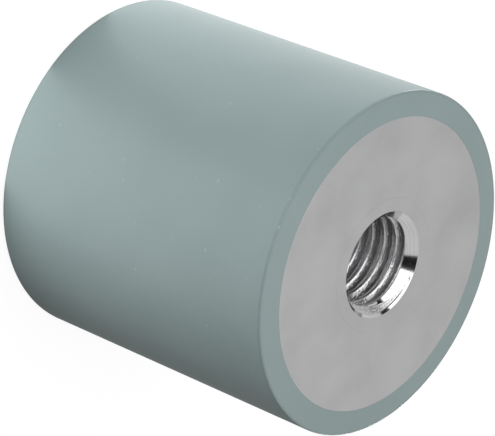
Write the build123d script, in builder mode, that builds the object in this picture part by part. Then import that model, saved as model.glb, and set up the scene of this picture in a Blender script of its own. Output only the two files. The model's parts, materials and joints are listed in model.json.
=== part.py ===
from build123d import *
from math import radians, tan
import os

# Rubber buffer with a tapped steel insert in each end.
# It stands on its bottom plate: the origin is the centre of the bottom face and
# +Z runs up the axis. Lengths are millimetres, angles are degrees.
# Both ends are alike, so each piece is made for the top and mirrored to the bottom.

# Rubber body
body_diameter = 40.0
overall_height = 40.0
rim_width = 2.9  # rubber left showing around a plate
rim_drop = 0.2  # fall of the rubber rim from the plate's face to the side
rim_edge_radius = 0.15
bond_film = 0.02  # bonding agent between rubber and steel

# End plates, stamped from sheet
plate_thickness = 2.5
plate_back_chamfer = 0.5  # broken edge on the side that the rubber holds

# Metric thread of the bushes
thread_diameter = 12.0
thread_pitch = 1.75
thread_depth = 10.5  # full bore, measured from the plate's face
minor_diameter_factor = 1.0825  # ISO profile: minor = nominal - factor * pitch
countersink_margin = 0.225  # how far the countersink's mouth clears the nominal thread
countersink_angle = 90.0
drill_point_angle = 118.0

# Bushes, turned from bar and riveted into the plates
spigot_wall = 1.3  # steel around the nominal thread, where it passes the plate
rivet_flare = 0.5  # 45 degree flare of the riveted spigot, flush with the plate
rivet_fit = 0.01  # radial clearance of the spigot in the plate
collar_step = 2.6  # how far the collar reaches out behind the plate
collar_thickness = 2.0
collar_chamfer = 0.4
barrel_wall = 2.3  # steel around the nominal thread, behind the collar
blind_wall = 1.2  # steel beyond the drill point
barrel_end_chamfer = 1.2

# Radii that follow
body_radius = body_diameter / 2
plate_radius = body_radius - rim_width
bore_radius = (thread_diameter - minor_diameter_factor * thread_pitch) / 2
countersink_radius = thread_diameter / 2 + countersink_margin
spigot_radius = thread_diameter / 2 + spigot_wall
collar_radius = spigot_radius + collar_step
barrel_radius = thread_diameter / 2 + barrel_wall

# Heights that follow
mid_height = overall_height / 2
plate_back = overall_height - plate_thickness
collar_back = plate_back - collar_thickness
countersink_depth = (countersink_radius - bore_radius) / tan(radians(countersink_angle / 2))
drill_point_height = bore_radius / tan(radians(drill_point_angle / 2))
drill_point = overall_height - thread_depth - drill_point_height
bush_end = drill_point - blind_wall

mirror_plane = Plane.XY.offset(mid_height)


# Rubber body: one moulding that wraps the rims of both plates and both bushes.
# The upper half is a revolved section, open where the steel insert is bonded in.
with BuildPart() as rubber_body:
    with BuildSketch(Plane.XZ) as body_section:
        with BuildLine():
            Polyline(
                (0, mid_height),
                (body_radius, mid_height),
                (body_radius, overall_height - rim_drop),
                (plate_radius, overall_height),
                (0, overall_height),
                close=True,
            )
        make_face()
        rim_corner = (body_radius, overall_height - rim_drop)
        fillet(body_section.vertices().sort_by_distance(rim_corner)[0], rim_edge_radius)
    revolve(axis=Axis.Z)

    pocket_plate_corner = (plate_radius + bond_film, plate_back - bond_film)
    pocket_collar_corner = (collar_radius + bond_film, collar_back - bond_film)
    pocket_end_corner = (barrel_radius + bond_film, bush_end - bond_film)
    with BuildSketch(Plane.XZ) as pocket_section:
        with BuildLine():
            Polyline(
                (0, pocket_end_corner[1]),
                pocket_end_corner,
                (pocket_end_corner[0], pocket_collar_corner[1]),
                pocket_collar_corner,
                (pocket_collar_corner[0], pocket_plate_corner[1]),
                pocket_plate_corner,
                (pocket_plate_corner[0], overall_height + bond_film),
                (0, overall_height + bond_film),
                close=True,
            )
        make_face()
        plate_corner = pocket_section.vertices().sort_by_distance(pocket_plate_corner)[0]
        chamfer(plate_corner, plate_back_chamfer)
        collar_corner = pocket_section.vertices().sort_by_distance(pocket_collar_corner)[0]
        chamfer(collar_corner, collar_chamfer)
        end_corner = pocket_section.vertices().sort_by_distance(pocket_end_corner)[0]
        chamfer(end_corner, barrel_end_chamfer)
    revolve(axis=Axis.Z, mode=Mode.SUBTRACT)

    mirror(about=mirror_plane)
rubber_body.part.label = "rubber_body"


# Top plate: stamped disc, its face flush with the end of the buffer. The hole
# seats the spigot of the bush, and is flared at the face for its riveted head.
with BuildPart() as top_plate:
    with BuildSketch(Plane.XY.offset(plate_back)):
        Circle(plate_radius)
    extrude(amount=plate_thickness)
    back_edge = top_plate.edges().filter_by(GeomType.CIRCLE).sort_by(Axis.Z)[0]
    chamfer(back_edge, plate_back_chamfer)

    with BuildSketch(Plane.XY.offset(plate_back)):
        Circle(spigot_radius + rivet_fit)
    extrude(amount=plate_thickness, mode=Mode.SUBTRACT)
    face_edges = top_plate.edges().filter_by(GeomType.CIRCLE).group_by(Axis.Z)[-1]
    chamfer(face_edges.sort_by(SortBy.RADIUS)[0], rivet_flare)
top_plate.part.label = "top_plate"


# Top bush: turned blind bush. Its collar backs the plate, its spigot is riveted
# flush, and the bore is drilled for the thread and countersunk at the mouth.
with BuildPart() as top_threaded_bush:
    with BuildSketch(Plane.XZ) as bush_section:
        with BuildLine():
            Polyline(
                (0, bush_end),
                (barrel_radius, bush_end),
                (barrel_radius, collar_back),
                (collar_radius, collar_back),
                (collar_radius, plate_back),
                (spigot_radius, plate_back),
                (spigot_radius, overall_height - rivet_flare),
                (spigot_radius + rivet_flare, overall_height),
                (countersink_radius, overall_height),
                (bore_radius, overall_height - countersink_depth),
                (bore_radius, overall_height - thread_depth),
                (0, drill_point),
                close=True,
            )
        make_face()
        end_corner = bush_section.vertices().sort_by_distance((barrel_radius, bush_end))[0]
        chamfer(end_corner, barrel_end_chamfer)
        collar_corner = bush_section.vertices().sort_by_distance((collar_radius, collar_back))[0]
        chamfer(collar_corner, collar_chamfer)
    revolve(axis=Axis.Z)
top_threaded_bush.part.label = "top_threaded_bush"


# Bottom plate and bush: the same pieces, turned over at the other end.
with BuildPart() as bottom_plate:
    mirror(top_plate.part, about=mirror_plane)
bottom_plate.part.label = "bottom_plate"

with BuildPart() as bottom_threaded_bush:
    mirror(top_threaded_bush.part, about=mirror_plane)
bottom_threaded_bush.part.label = "bottom_threaded_bush"


os.makedirs("parts", exist_ok=True)
export_step(rubber_body.part, "parts/rubber_body.step")
export_step(top_plate.part, "parts/top_plate.step")
export_step(top_threaded_bush.part, "parts/top_threaded_bush.step")
export_step(bottom_plate.part, "parts/bottom_plate.step")
export_step(bottom_threaded_bush.part, "parts/bottom_threaded_bush.step")
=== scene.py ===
import json
import math

import bmesh
import bpy
from mathutils import Matrix, Vector


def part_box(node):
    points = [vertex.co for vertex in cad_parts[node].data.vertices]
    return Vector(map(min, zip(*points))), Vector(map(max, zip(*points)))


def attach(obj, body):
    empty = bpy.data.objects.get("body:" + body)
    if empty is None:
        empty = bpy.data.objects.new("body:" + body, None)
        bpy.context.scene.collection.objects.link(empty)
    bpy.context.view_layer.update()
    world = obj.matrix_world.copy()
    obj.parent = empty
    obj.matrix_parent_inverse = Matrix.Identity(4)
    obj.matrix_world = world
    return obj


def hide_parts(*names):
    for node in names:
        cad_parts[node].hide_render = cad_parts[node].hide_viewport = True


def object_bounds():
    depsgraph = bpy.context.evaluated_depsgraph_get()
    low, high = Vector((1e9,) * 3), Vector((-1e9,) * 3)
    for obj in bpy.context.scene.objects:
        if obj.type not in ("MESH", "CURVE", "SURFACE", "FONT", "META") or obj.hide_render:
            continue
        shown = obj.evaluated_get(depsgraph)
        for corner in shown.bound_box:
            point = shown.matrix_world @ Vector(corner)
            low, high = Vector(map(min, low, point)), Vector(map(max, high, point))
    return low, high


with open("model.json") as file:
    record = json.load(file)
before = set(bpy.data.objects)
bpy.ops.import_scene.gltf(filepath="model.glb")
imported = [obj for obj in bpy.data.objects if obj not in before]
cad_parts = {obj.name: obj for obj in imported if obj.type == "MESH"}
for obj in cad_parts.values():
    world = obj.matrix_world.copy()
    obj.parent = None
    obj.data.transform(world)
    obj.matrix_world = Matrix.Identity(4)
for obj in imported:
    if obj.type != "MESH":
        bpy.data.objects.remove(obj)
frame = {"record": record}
cad_low, cad_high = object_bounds()


# Threaded bushes
# Each end holds a bush turned from steel bar: a collar that backs the plate, a spigot riveted
# flush into it, and a blind hole, countersunk and tapped M12 x 1.75. The countersink comes out
# bright and the thread a little torn, while the riveted head is faced off matt with the plate.

MM = 0.001
mounts = {mount["name"]: mount for mount in frame["record"]["mounts"]}
top_face = mounts["top_face"]["pos_m"][2]
mid_height = top_face / 2

thread_radius = 6.0 * MM
thread_pitch = 1.75 * MM
bore_radius = mounts["top_thread"]["dims"]["r_mm"] * MM
bore_depth = 10.5 * MM
drill_point_angle = math.radians(118)
drill_point_depth = bore_depth + bore_radius / math.tan(drill_point_angle / 2)
countersink_margin = 0.225 * MM
countersink_radius = thread_radius + countersink_margin
countersink_depth = countersink_radius - bore_radius
tapping_allowance = 0.02 * MM
drill_radius = bore_radius - tapping_allowance
mouth_round = 0.03 * MM

spigot_radius = 7.3 * MM
rivet_flare = 0.5 * MM
bush_low, bush_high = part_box("top_threaded_bush")
plate_low, plate_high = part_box("top_plate")
collar_radius = bush_high.x
collar_thickness = 2.0 * MM
collar_back = plate_low.z - collar_thickness
collar_chamfer = 0.4 * MM
barrel_radius = 8.3 * MM
barrel_chamfer = 1.2 * MM

round_segments = 192
sharp_angle = math.radians(30)
# A holding point stands this many times a rounding's cut from its corner.
holding = 1.25
# Points nearer than this are one point.
joined = 0.0005 * MM


def outline_mesh(points, closed=False, rounds=()):
    """A wire in the XZ plane through (radius, height) points. rounds gives corners to round off,
    each as (its index, distance cut back, segments). A holding point on each side of a rounding
    keeps the long faces beside it flat to the eye."""
    wire = bmesh.new()
    corners = [wire.verts.new((radius, 0, height)) for radius, height in points]
    following = corners[1:] + corners[:1] if closed else corners[1:]
    for corner, after in zip(corners, following):
        wire.edges.new((corner, after))
    for index, cut, segments in rounds:
        for edge in list(corners[index].link_edges):
            bmesh.utils.edge_split(edge, corners[index], holding * cut / edge.calc_length())
        bmesh.ops.bevel(
            wire, geom=[corners[index]], affect="VERTICES", offset=cut,
            offset_type="OFFSET", segments=segments, profile=0.5, material=-1,
        )
    return wire


def spin_round(wire):
    """Turns a wire once round the Z axis into a closed skin that faces outwards."""
    bmesh.ops.spin(
        wire, geom=wire.verts[:] + wire.edges[:], cent=(0, 0, 0), axis=(0, 0, 1),
        dvec=(0, 0, 0), angle=math.tau, steps=round_segments, use_merge=True,
    )
    bmesh.ops.remove_doubles(wire, verts=wire.verts, dist=joined)
    bmesh.ops.recalc_face_normals(wire, faces=wire.faces)


def piece(name, shape, *materials):
    """Makes the bmesh an object at the origin, smooth but for its sharp edges."""
    mesh = bpy.data.meshes.new(name)
    shape.to_mesh(mesh)
    shape.free()
    for material in materials:
        mesh.materials.append(material)
    mesh.shade_smooth()
    mesh.set_sharp_from_angle(angle=sharp_angle)
    made = bpy.data.objects.new(name, mesh)
    bpy.context.scene.collection.objects.link(made)
    return made


def linear(hex_colour):
    """An sRGB hex colour as the linear RGBA that shaders take."""
    channels = [int(hex_colour[i:i + 2], 16) / 255 for i in (1, 3, 5)]
    return [c / 12.92 if c <= 0.04045 else ((c + 0.055) / 1.055) ** 2.4 for c in channels] + [1.0]


def add_node(material, kind, settings=None, **inputs):
    """Adds a shader node. settings are its properties. inputs are values or (node, output) links,
    named as the socket is, with underscores for spaces, or by its number, as in i0."""
    node = material.node_tree.nodes.new(kind)
    for key, value in (settings or {}).items():
        setattr(node, key, value)
    for key, value in inputs.items():
        numbered = key[0] == "i" and key[1:].isdigit()
        socket = node.inputs[int(key[1:]) if numbered else key.replace("_", " ")]
        if isinstance(value, tuple) and isinstance(value[0], bpy.types.Node):
            material.node_tree.links.new(value[0].outputs[value[1]], socket)
        else:
            socket.default_value = value
    return node


def new_material(name):
    """An empty node material and its output node."""
    material = bpy.data.materials.new(name)
    material.use_nodes = True
    material.node_tree.nodes.clear()
    return material, material.node_tree.nodes.new("ShaderNodeOutputMaterial")


def finish_material(material, output, shader):
    """Links the shader to the material's output."""
    material.node_tree.links.new(shader.outputs[0], output.inputs["Surface"])
    return material


# Nearly all of a noise's values lie between these two.
noise_low = 0.3
noise_high = 0.7


# Cut steel: bright, with tool marks that run round the axis. The countersink's edge leaves it smooth
# and nearly a mirror, and the tap tears it, so that the thread is duller and streaked.
def cut_steel(name, dark, pale, smoothest, roughest, tear):
    mark_length = 4 * MM
    mark_width = 0.25 * MM
    torn_spot = 0.3 * MM
    torn_spot_from = 0.5
    torn_spot_to = 0.75
    tear_depth = 0.02 * MM

    material, output = new_material(name)
    place = add_node(material, "ShaderNodeTexCoord")
    # The distance from the axis is the noise's fourth coordinate, so that marks don't run outwards.
    along = add_node(
        material, "ShaderNodeVectorMath", {"operation": "MULTIPLY"},
        i0=(place, "Object"), i1=(1 / mark_length, 1 / mark_length, 1 / mark_width),
    )
    outward = add_node(
        material, "ShaderNodeVectorMath", {"operation": "MULTIPLY"},
        i0=(place, "Object"), i1=(1 / mark_width, 1 / mark_width, 0),
    )
    radius = add_node(
        material, "ShaderNodeVectorMath", {"operation": "LENGTH"}, i0=(outward, "Vector"),
    )
    marks = add_node(
        material, "ShaderNodeTexNoise", {"noise_dimensions": "4D"}, Vector=(along, "Vector"),
        W=(radius, "Value"), Scale=1.0, Detail=2.0,
    )
    streaks = add_node(
        material, "ShaderNodeMapRange", Value=(marks, "Fac"),
        From_Min=noise_low, From_Max=noise_high,
    )
    tone = add_node(
        material, "ShaderNodeMix", {"data_type": "RGBA"},
        i0=(streaks, "Result"), i6=linear(dark), i7=linear(pale),
    )
    dulling = add_node(
        material, "ShaderNodeMapRange", Value=(marks, "Fac"), To_Min=smoothest, To_Max=roughest,
    )
    spots = add_node(
        material, "ShaderNodeTexNoise", Vector=(place, "Object"), Scale=1 / torn_spot, Detail=1.0,
    )
    tearing = add_node(
        material, "ShaderNodeMapRange", Value=(spots, "Fac"),
        From_Min=torn_spot_from, From_Max=torn_spot_to,
    )
    relief = add_node(
        material, "ShaderNodeMath", {"operation": "ADD"},
        i0=(marks, "Fac"), i1=(tearing, "Result"),
    )
    bumps = add_node(
        material, "ShaderNodeBump", Strength=tear, Distance=tear_depth, Height=(relief, "Value"),
    )
    shader = add_node(
        material, "ShaderNodeBsdfPrincipled", Base_Color=(tone, 2), Metallic=1.0,
        Roughness=(dulling, "Result"), Normal=(bumps, "Normal"),
    )
    return finish_material(material, output, shader)


# Faced sheet steel: fine matt grey from facing and tumbling, with soft cloudy tone.
def faced_steel():
    cloud_size = 6 * MM
    grain_size = 0.25 * MM
    grain_depth = 0.01 * MM

    material, output = new_material("sheet_steel_faced_matt")
    place = add_node(material, "ShaderNodeTexCoord")
    clouds = add_node(
        material, "ShaderNodeTexNoise", Vector=(place, "Object"), Scale=1 / cloud_size, Detail=3.0,
    )
    cloudiness = add_node(
        material, "ShaderNodeMapRange", Value=(clouds, "Fac"),
        From_Min=noise_low, From_Max=noise_high,
    )
    tone = add_node(
        material, "ShaderNodeMix", {"data_type": "RGBA"},
        i0=(cloudiness, "Result"), i6=linear("#a3a3a4"), i7=linear("#adadae"),
    )
    grain = add_node(
        material, "ShaderNodeTexNoise", Vector=(place, "Object"), Scale=1 / grain_size, Detail=2.0,
    )
    dulling = add_node(
        material, "ShaderNodeMapRange", Value=(grain, "Fac"), To_Min=0.5, To_Max=0.62,
    )
    bumps = add_node(
        material, "ShaderNodeBump", Strength=0.2, Distance=grain_depth, Height=(grain, "Fac"),
    )
    shader = add_node(
        material, "ShaderNodeBsdfPrincipled", Base_Color=(tone, 2), Metallic=0.6,
        Roughness=(dulling, "Result"), Normal=(bumps, "Normal"),
    )
    return finish_material(material, output, shader)


bush_outline = [
    (0, top_face - drill_point_depth),
    (drill_radius, top_face - bore_depth),
    (drill_radius, top_face - countersink_depth - tapping_allowance),
    (countersink_radius, top_face),
    (spigot_radius + rivet_flare, top_face),
    (spigot_radius, top_face - rivet_flare),
    (spigot_radius, plate_low.z),
    (collar_radius, plate_low.z),
    (collar_radius, collar_back + collar_chamfer),
    (collar_radius - collar_chamfer, collar_back),
    (barrel_radius, collar_back),
    (barrel_radius, bush_low.z + barrel_chamfer),
    (barrel_radius - barrel_chamfer, bush_low.z),
    (0, bush_low.z),
]
mouth_corner = 3
blank = outline_mesh(bush_outline, rounds=[(mouth_corner, mouth_round, 3)])
spin_round(blank)

# The tap's cutting form: one pitch of the ISO profile, wound up a right-hand helix from below
# the last full thread to above the face. Crests stand at the bore, roots at the full diameter.
crest_land = thread_pitch / 4
root_land = thread_pitch / 8
crest_round = 0.17 * MM
root_round = 0.08 * MM
tap_steps = 128
tap_turns = 8
tap_taper_start = 8.4 * MM
tap_taper_slope = 0.6
# The crest passes +Y, a quarter turn from the helix's start at +X, at this depth below the face.
crest_depth_at_y = 1.02 * MM
turns_below_crest = 5 + 0.25

tap_start = top_face - crest_depth_at_y - thread_pitch * turns_below_crest
tap_outline = [
    (bore_radius, tap_start),
    (bore_radius, tap_start + crest_land / 2),
    (thread_radius, tap_start + thread_pitch / 2 - root_land / 2),
    (thread_radius, tap_start + thread_pitch / 2 + root_land / 2),
    (bore_radius, tap_start + thread_pitch - crest_land / 2),
    (bore_radius, tap_start + thread_pitch),
]
tap = outline_mesh(
    tap_outline,
    rounds=[(1, crest_round, 5), (2, root_round, 4), (3, root_round, 4), (4, crest_round, 5)],
)
bmesh.ops.spin(
    tap, geom=tap.verts[:] + tap.edges[:], cent=(0, 0, 0), axis=(0, 0, 1),
    dvec=(0, 0, thread_pitch / tap_steps), angle=math.tau * tap_turns,
    steps=tap_steps * tap_turns, use_merge=False,
)
bmesh.ops.remove_doubles(tap, verts=tap.verts, dist=joined)
for vertex in tap.verts:
    below_full = top_face - tap_taper_start - vertex.co.z
    if below_full > 0:
        radius = vertex.co.xy.length
        vertex.co.xy *= (radius - tap_taper_slope * below_full) / radius

# Each open end of the helix is drawn in to a point on the axis.
open_edges = [edge for edge in tap.edges if edge.is_boundary]
tap_middle = tap_start + thread_pitch * tap_turns / 2
for end_is_top in (False, True):
    end_edges = [
        edge for edge in open_edges if (edge.verts[0].co.z > tap_middle) == end_is_top
    ]
    middle = sum((edge.verts[0].co.z for edge in end_edges), 0) / len(end_edges)
    grown = bmesh.ops.extrude_edge_only(tap, edges=end_edges)
    tips = [element for element in grown["geom"] if isinstance(element, bmesh.types.BMVert)]
    bmesh.ops.pointmerge(tap, verts=tips, merge_co=(0, 0, middle))
bmesh.ops.recalc_face_normals(tap, faces=tap.faces)

torn = cut_steel("steel_tapped", "#bebebf", "#dadadb", smoothest=0.15, roughest=0.35, tear=0.8)
bright = cut_steel(
    "steel_countersunk_bright", "#cfcfcf", "#dedede", smoothest=0.08, roughest=0.16, tear=0.03,
)
matt = faced_steel()
torn_slot, bright_slot, matt_slot = 0, 1, 2
top_bush = piece("top_bush_tapped", blank, torn, bright, matt)
cutter = piece("tap", tap)
cut = top_bush.modifiers.new("tapping", "BOOLEAN")
cut.operation = "DIFFERENCE"
cut.solver = "EXACT"
cut.object = cutter
evaluated = top_bush.evaluated_get(bpy.context.evaluated_depsgraph_get())
tapped = bpy.data.meshes.new_from_object(evaluated)
top_bush.modifiers.clear()
top_bush.data = tapped
bpy.data.objects.remove(cutter)

# Past this, a face's normal points up enough for it to belong to the flat end.
end_face_slope = 0.75


def dress_bush(bush):
    """Gives the countersink its bright finish and the flat end its matt one, with a sharp edge
    wherever two finishes meet."""
    mesh = bush.data
    mesh.shade_smooth()
    mesh.set_sharp_from_angle(angle=sharp_angle)
    dressed = bmesh.new()
    dressed.from_mesh(mesh)
    for face in dressed.faces:
        middle = face.calc_center_median()
        depth = top_face - middle.z
        off_cone = abs(middle.xy.length + depth - countersink_radius)
        if depth < mouth_round and face.normal.z > end_face_slope:
            face.material_index = matt_slot
        elif off_cone < mouth_round and depth < countersink_depth:
            face.material_index = bright_slot
        else:
            face.material_index = torn_slot
    for edge in dressed.edges:
        if len({face.material_index for face in edge.link_faces}) > 1:
            edge.smooth = False
    dressed.to_mesh(mesh)
    dressed.free()


dress_bush(top_bush)

turned_over = (
    Matrix.Translation((0, 0, mid_height))
    @ Matrix.Rotation(math.pi, 4, "X")
    @ Matrix.Translation((0, 0, -mid_height))
)


def other_end(top, name):
    """The same piece turned over to the bottom end, which keeps a thread right-hand."""
    mesh = top.data.copy()
    mesh.transform(turned_over)
    bottom = bpy.data.objects.new(name, mesh)
    bpy.context.scene.collection.objects.link(bottom)
    return bottom


bottom_bush = other_end(top_bush, "bottom_bush_tapped")
for bush, node in ((top_bush, "top_threaded_bush"), (bottom_bush, "bottom_threaded_bush")):
    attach(bush, "root")
    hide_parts(node)


# End plates
# A disc stamped from sheet steel lies flush in each end. The rubber holds its rim and back, and
# its middle is filled by the riveted spigot of the bush.

plate_radius = plate_high.x
plate_back_chamfer = 0.5 * MM
plate_edge_round = 0.03 * MM
rivet_fit = 0.01 * MM

plate_outline = [
    (spigot_radius + rivet_fit, plate_low.z),
    (plate_radius - plate_back_chamfer, plate_low.z),
    (plate_radius, plate_low.z + plate_back_chamfer),
    (plate_radius, top_face),
    (spigot_radius + rivet_fit + rivet_flare, top_face),
    (spigot_radius + rivet_fit, top_face - rivet_flare),
]
plate_edge = 3
disc = outline_mesh(plate_outline, closed=True, rounds=[(plate_edge, plate_edge_round, 3)])
spin_round(disc)
top_disc = piece("top_disc", disc, matt)
bottom_disc = other_end(top_disc, "bottom_disc")
for plate, node in ((top_disc, "top_plate"), (bottom_disc, "bottom_plate")):
    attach(plate, "root")
    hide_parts(node)


# Rubber body
# One moulding of grey-green elastomer fills the buffer and wraps both steel ends, bonded to
# them in the mould. Its rim falls away a little from each disc to a small rounded edge.

body_radius = cad_high.x
bond_film = 0.02 * MM
rim_drop = 0.2 * MM
rim_edge_radius = 0.15 * MM
rim_slope = math.atan(rim_drop / (body_radius - plate_radius))
rim_cut = rim_edge_radius * math.tan((math.pi / 2 - rim_slope) / 2)


# Moulded grey-green elastomer: satin and softly uneven in tone, with a few tiny pale specks of
# filler, and painted shade that darkens the colour a little along the two rim edges.
def rubber():
    cloud_size = 9 * MM
    grain_size = 0.3 * MM
    grain_depth = 0.01 * MM
    edge_shade_from = 0.1 * MM
    edge_shade_to = 0.4 * MM
    speck_spacing = 0.7 * MM
    # Only the few highest values of the noise make a speck.
    speck_from = 0.82
    speck_to = 0.9

    material, output = new_material("rubber_moulded_satin")
    place = add_node(material, "ShaderNodeTexCoord")
    clouds = add_node(
        material, "ShaderNodeTexNoise", Vector=(place, "Object"), Scale=1 / cloud_size, Detail=4.0,
    )
    cloudiness = add_node(
        material, "ShaderNodeMapRange", Value=(clouds, "Fac"),
        From_Min=noise_low, From_Max=noise_high,
    )
    cloudy = add_node(
        material, "ShaderNodeMix", {"data_type": "RGBA"},
        i0=(cloudiness, "Result"), i6=linear("#90a1a1"), i7=linear("#94a5a5"),
    )

    # How far a point lies from the nearer of the two rim edges, where the shade is painted.
    outward = add_node(
        material, "ShaderNodeVectorMath", {"operation": "MULTIPLY"},
        i0=(place, "Object"), i1=(1, 1, 0),
    )
    radius = add_node(
        material, "ShaderNodeVectorMath", {"operation": "LENGTH"}, i0=(outward, "Vector"),
    )
    height = add_node(material, "ShaderNodeSeparateXYZ", Vector=(place, "Object"))
    above = add_node(
        material, "ShaderNodeMath", {"operation": "SUBTRACT"}, i0=(height, "Z"), i1=mid_height,
    )
    from_middle = add_node(
        material, "ShaderNodeMath", {"operation": "ABSOLUTE"}, i0=(above, "Value"),
    )
    across = add_node(
        material, "ShaderNodeCombineXYZ", X=(radius, "Value"), Y=(from_middle, "Value"),
    )
    from_edge = add_node(
        material, "ShaderNodeVectorMath", {"operation": "DISTANCE"},
        i0=(across, "Vector"), i1=(body_radius, mid_height - rim_drop, 0),
    )
    # Painted shade: the colour turns darker towards each rim edge.
    edge_shading = add_node(
        material, "ShaderNodeMapRange", {"interpolation_type": "SMOOTHSTEP"},
        Value=(from_edge, "Value"), From_Min=edge_shade_from, From_Max=edge_shade_to,
        To_Min=1.0, To_Max=0.0,
    )
    edge_shaded = add_node(
        material, "ShaderNodeMix", {"data_type": "RGBA"},
        i0=(edge_shading, "Result"), i6=(cloudy, 2), i7=linear("#869797"),
    )

    specks = add_node(
        material, "ShaderNodeTexNoise", Vector=(place, "Object"),
        Scale=1 / speck_spacing, Detail=0.0,
    )
    speckling = add_node(
        material, "ShaderNodeMapRange", Value=(specks, "Fac"),
        From_Min=speck_from, From_Max=speck_to,
    )
    tone = add_node(
        material, "ShaderNodeMix", {"data_type": "RGBA"},
        i0=(speckling, "Result"), i6=(edge_shaded, 2), i7=linear("#a1b0af"),
    )
    grain = add_node(
        material, "ShaderNodeTexNoise", Vector=(place, "Object"), Scale=1 / grain_size, Detail=3.0,
    )
    dulling = add_node(
        material, "ShaderNodeMapRange", Value=(grain, "Fac"), To_Min=0.34, To_Max=0.46,
    )
    bumps = add_node(
        material, "ShaderNodeBump", Strength=0.2, Distance=grain_depth, Height=(grain, "Fac"),
    )
    shader = add_node(
        material, "ShaderNodeBsdfPrincipled", Base_Color=(tone, 2),
        Roughness=(dulling, "Result"), Specular_IOR_Level=0.35, Normal=(bumps, "Normal"),
    )
    return finish_material(material, output, shader)


# From the bottom of the insert's pocket, up past barrel, collar and plate, to the side.
end_outline = [
    (0, bush_low.z - bond_film),
    (barrel_radius + bond_film - barrel_chamfer, bush_low.z - bond_film),
    (barrel_radius + bond_film, bush_low.z - bond_film + barrel_chamfer),
    (barrel_radius + bond_film, collar_back - bond_film),
    (collar_radius + bond_film - collar_chamfer, collar_back - bond_film),
    (collar_radius + bond_film, collar_back - bond_film + collar_chamfer),
    (collar_radius + bond_film, plate_low.z - bond_film),
    (plate_radius + bond_film - plate_back_chamfer, plate_low.z - bond_film),
    (plate_radius + bond_film, plate_low.z - bond_film + plate_back_chamfer),
    (plate_radius + bond_film, top_face - plate_edge_round - bond_film),
    (plate_radius + joined, top_face - plate_edge_round),
    (plate_radius + joined, top_face - bond_film * math.tan(rim_slope)),
    (body_radius, top_face - rim_drop),
]
rim_corner = len(end_outline) - 1
body_outline = end_outline + [
    (radius, top_face - height) for radius, height in reversed(end_outline)
]
body = outline_mesh(
    body_outline, rounds=[(rim_corner, rim_cut, 6), (rim_corner + 1, rim_cut, 6)],
)
spin_round(body)
moulding = piece("rubber_moulding", body, rubber())
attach(moulding, "root")
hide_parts("rubber_body")


# Camera
# It looks down on the standing buffer and is turned about its own axis, so that the buffer
# lies across the picture as it does in the photograph.

camera_elevation = math.radians(37.65)
camera_roll = math.radians(111.68)
camera_distance = 17.118 * body_radius
camera_aim = Vector((0.0115, 0.0323)) * body_radius
image_width = 495
focal_pixels = 2991.7
sensor_width = 36

back = Vector((0, -math.cos(camera_elevation), math.sin(camera_elevation)))
level = Vector((1, 0, 0))
rise = back.cross(level)
right = math.cos(camera_roll) * level + math.sin(camera_roll) * rise
up = math.cos(camera_roll) * rise - math.sin(camera_roll) * level
centre = Vector((0, 0, mid_height))

camera_data = bpy.data.cameras.new("camera")
camera_data.sensor_width = sensor_width
camera_data.lens = focal_pixels / image_width * sensor_width
camera = bpy.data.objects.new("camera", camera_data)
bpy.context.scene.collection.objects.link(camera)
camera.matrix_world = Matrix.Translation(
    centre + back * camera_distance - right * camera_aim.x - up * camera_aim.y
) @ Matrix((right, up, back)).transposed().to_4x4()
bpy.context.scene.camera = camera


# Floor and light
# A plain pale floor in a pale surround, with two white cards lying on it at the buffer's foot. A
# broad fill lamp stands beside the camera, and low strips light the side and the back. Two
# softboxes hang over the buffer, and the larger one has a black board behind it.

floor_radius = 3.0
floor_gap = 0.01 * MM
floor_shape = bmesh.new()
bmesh.ops.create_circle(floor_shape, cap_ends=True, segments=64, radius=floor_radius)
bmesh.ops.translate(floor_shape, verts=floor_shape.verts, vec=(0, 0, -floor_gap))


def seen_as(tree, to_camera, in_gloss, otherwise):
    """How strongly a background glows: to the camera, to the rays that metal or glass sends on,
    and to all others."""
    path = add_node(tree, "ShaderNodeLightPath")
    sent_on = add_node(
        tree, "ShaderNodeMath", {"operation": "MAXIMUM"},
        i0=(path, "Is Glossy Ray"), i1=(path, "Is Transmission Ray"),
    )
    beside = add_node(
        tree, "ShaderNodeMapRange", Value=(sent_on, "Value"), To_Min=otherwise, To_Max=in_gloss,
    )
    return add_node(
        tree, "ShaderNodeMapRange", Value=(path, "Is Camera Ray"),
        To_Min=(beside, "Result"), To_Max=to_camera,
    )


# Pale paper: it is lit like any paper and takes the shadow, and a glow lifts it to white.
def pale_paper():
    material, output = new_material("floor_pale_paper")
    paper = add_node(material, "ShaderNodeBsdfDiffuse", Color=linear("#747474"))
    lift = seen_as(material, to_camera=0.9, in_gloss=0.18, otherwise=0.0)
    glow = add_node(material, "ShaderNodeEmission", Strength=(lift, "Result"))
    both = add_node(material, "ShaderNodeAddShader", i0=(paper, "BSDF"), i1=(glow, "Emission"))
    return finish_material(material, output, both)


floor = piece("floor", floor_shape, pale_paper())

# The surround is a pale room for the camera and for gloss, and lights the rest only dimly.
surround = bpy.data.worlds.new("surround")
surround.use_nodes = True
bpy.context.scene.world = surround
room = surround.node_tree.nodes["Background"]
room.inputs["Color"].default_value = linear("#ffffff")
room_light = seen_as(surround, to_camera=1.0, in_gloss=0.7, otherwise=0.04)
surround.node_tree.links.new(room_light.outputs["Result"], room.inputs["Strength"])

upright = Vector((0, 0, 1))
lamp_distance = 0.6
board_distance = 0.62
# The cards lie between the floor and the buffer's bottom end, and reach a little under it.
card_distance = mid_height + floor_gap / 2
# The strips are lower than the buffer, so that its end face doesn't see them.
strip_height = 0.036


def toward(azimuth, elevation):
    """The direction at an azimuth and elevation, in degrees, from the buffer's middle."""
    azimuth, elevation = math.radians(azimuth), math.radians(elevation)
    return Vector((
        math.cos(azimuth) * math.cos(elevation), math.sin(azimuth) * math.cos(elevation),
        math.sin(elevation),
    ))


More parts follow.
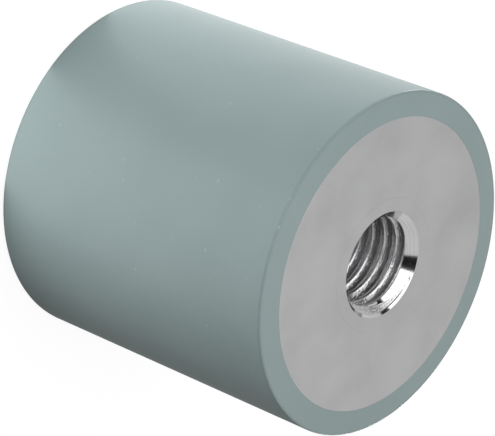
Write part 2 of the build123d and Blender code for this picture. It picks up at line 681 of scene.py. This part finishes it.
def facing(direction, along, distance):
    """Places a flat thing at the distance, facing the buffer, with its X axis along a direction."""
    across = direction.cross(along).normalized()
    return Matrix.Translation(centre + direction * distance) @ Matrix(
        (across.cross(direction), across, direction)
    ).transposed().to_4x4()


def softbox(
    name, direction, along, width, height, brightness, shift=(0, 0), distance=lamp_distance,
):
    """A rectangular soft lamp, shifted in its own plane. brightness is that of its face, where 1
    is a white wall's."""
    lamp_data = bpy.data.lights.new(name, "AREA")
    lamp_data.shape = "RECTANGLE"
    lamp_data.size = width
    lamp_data.size_y = height
    lamp_data.energy = brightness * math.pi * width * height
    lamp = bpy.data.objects.new(name, lamp_data)
    bpy.context.scene.collection.objects.link(lamp)
    lamp.matrix_world = facing(direction, along, distance) @ Matrix.Translation((*shift, 0))


fill_direction = toward(-98, 10)
rim_direction = toward(150, 0)
side_direction = toward(72, 0)
overhead_direction = toward(-154.3, 66.7)
overhead_along = Vector((0.84, -0.49, 0.24))
softbox(
    "fill", fill_direction, upright.cross(fill_direction),
    width=0.42, height=0.2, brightness=7.3,
)
softbox(
    "rim", rim_direction, upright.cross(rim_direction),
    width=0.32, height=strip_height, brightness=60.0,
)
softbox(
    "side", side_direction, upright.cross(side_direction),
    width=0.2, height=strip_height, brightness=50.0,
)
softbox(
    "overhead", overhead_direction, overhead_along,
    width=0.75, height=0.41, brightness=2.0, shift=(0.025, -0.055),
)
softbox("back", toward(80, 68), Vector((1, 0, 0)), width=0.4, height=0.4, brightness=2.3)
softbox(
    "near_card", -upright, toward(-12, 0),
    width=0.068, height=0.075, brightness=1.0, shift=(0.031, 0.0545), distance=card_distance,
)
softbox(
    "far_card", -upright, rim_direction,
    width=0.085, height=0.08, brightness=0.95, shift=(0.0495, -0.018), distance=card_distance,
)


# Black flock on the board behind the overhead softbox: it throws back next to nothing.
def black_flock():
    material, output = new_material("board_black_flock")
    flock = add_node(material, "ShaderNodeBsdfDiffuse", Color=linear("#101010"))
    return finish_material(material, output, flock)


board_size = (1.56, 0.48, 1)
board_turn = Matrix.Rotation(math.radians(-10), 3, "Z")
board_shift = (0.14, -0.02, 0)
board_shape = bmesh.new()
bmesh.ops.create_grid(board_shape, x_segments=1, y_segments=1, size=0.5)
bmesh.ops.scale(board_shape, verts=board_shape.verts, vec=board_size)
bmesh.ops.rotate(board_shape, verts=board_shape.verts, matrix=board_turn)
bmesh.ops.translate(board_shape, verts=board_shape.verts, vec=board_shift)
bmesh.ops.transform(
    board_shape, verts=board_shape.verts,
    matrix=facing(overhead_direction, overhead_along, board_distance),
)
board = piece("overhead_board", board_shape, black_flock())

bpy.context.scene.view_settings.view_transform = "Standard"
